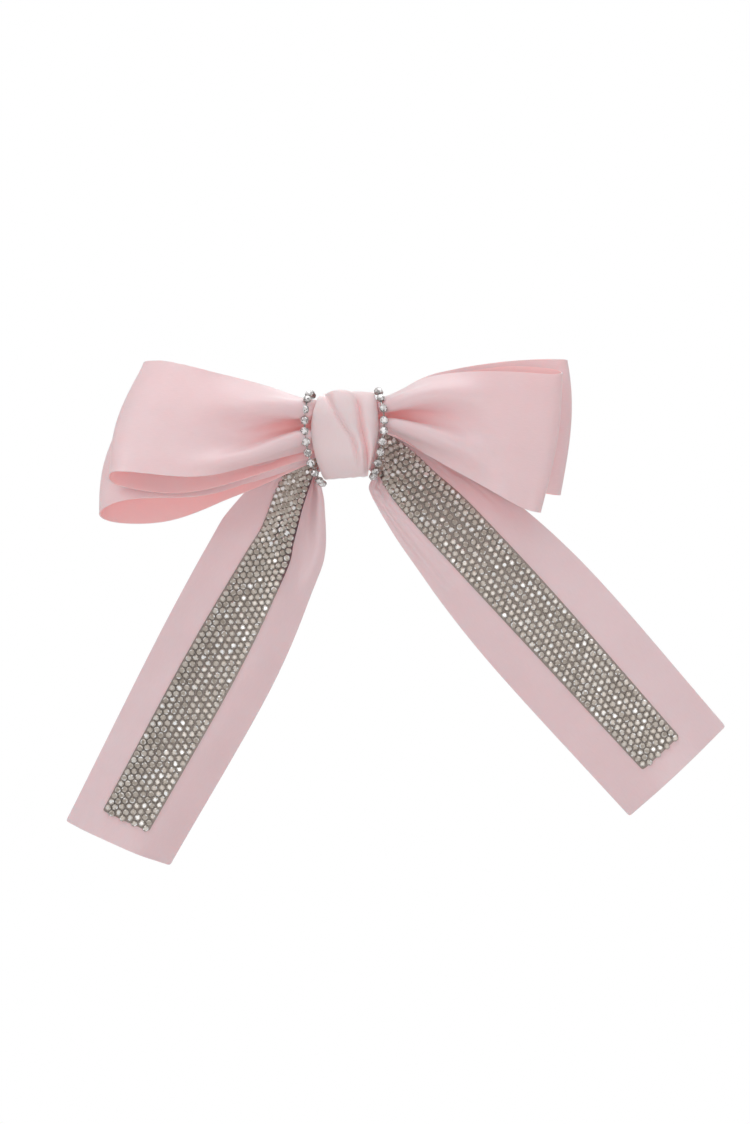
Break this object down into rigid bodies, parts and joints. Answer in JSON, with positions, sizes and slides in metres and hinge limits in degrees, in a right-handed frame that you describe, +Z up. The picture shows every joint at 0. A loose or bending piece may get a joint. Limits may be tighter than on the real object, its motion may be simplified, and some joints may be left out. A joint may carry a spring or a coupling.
{
  "type": "hair bow",
  "caption": "Satin hair bow with stacked loops, long tails set with rhinestone banding, a knot edged with cup chain, and a spring barrette clasp behind.",
  "frame": {"origin": "centre of the hair-side face of the barrette's base, behind the middle of the knot", "axes": "+Z up as worn, -Y out of the front of the bow, +Y towards the head, +X to the right seen from the front"},
  "size_m": [0.2416, 0.0381, 0.1855],
  "materials": {
    "satin": "satin",
    "knot_satin": "satin",
    "net": "fine metal net",
    "crystal": "faceted, foiled behind",
    "cup_chain": "polished",
    "thread": "matt",
    "plated_steel": "nickel plated",
    "spring_steel": "brushed"
  },
  "bodies": {
    "bow": {"front_loop_ribbon": "satin", "rear_loop_ribbon": "satin", "left_tail_ribbon": "satin", "left_band_net": "net", "left_stone_row_1": "crystal", "left_stone_row_2": "crystal", "left_stone_row_3": "crystal", "left_stone_row_4": "crystal", "left_stone_row_5": "crystal", "left_stone_row_6": "crystal", "left_stone_row_7": "crystal", "left_stone_row_8": "crystal", "right_tail_ribbon": "satin", "right_band_net": "net", "right_stone_row_1": "crystal", "right_stone_row_2": "crystal", "right_stone_row_3": "crystal", "right_stone_row_4": "crystal", "right_stone_row_5": "crystal", "right_stone_row_6": "crystal", "right_stone_row_7": "crystal", "right_stone_row_8": "crystal", "knot_wrap": "knot_satin", "gathering_thread": "thread", "left_cup_chain": "cup_chain", "right_cup_chain": "cup_chain", "barrette_base": "plated_steel", "hinge_pin": "plated_steel", "tension_leaf": "spring_steel", "catch_plate": "spring_steel", "catch_rivet": "plated_steel"},
    "clasp_arm": {"clasp_arm": "plated_steel"},
    "upper_wing": {"upper_catch_wing": "spring_steel"},
    "lower_wing": {"lower_catch_wing": "spring_steel"}
  },
  "joints": [
    {"name": "clasp_hinge", "type": "hinge", "parent": "bow", "child": "clasp_arm", "pos_m": [0.0386, 0.0092, 0], "axis": [0, 0, -1], "range_deg": [0, 100]},
    {"name": "lower_wing_squeeze", "type": "hinge", "parent": "bow", "child": "lower_wing", "pos_m": [-0.0364, 0.0056, -0.00165], "axis": [1, 0, 0], "range_deg": [0, 10], "stiffness_Nm_per_rad": 0.08},
    {"name": "upper_wing_squeeze", "type": "hinge", "parent": "bow", "child": "upper_wing", "pos_m": [-0.0364, 0.0056, 0.00165], "axis": [-1, 0, 0], "range_deg": [0, 10], "stiffness_Nm_per_rad": 0.08}
  ]
}
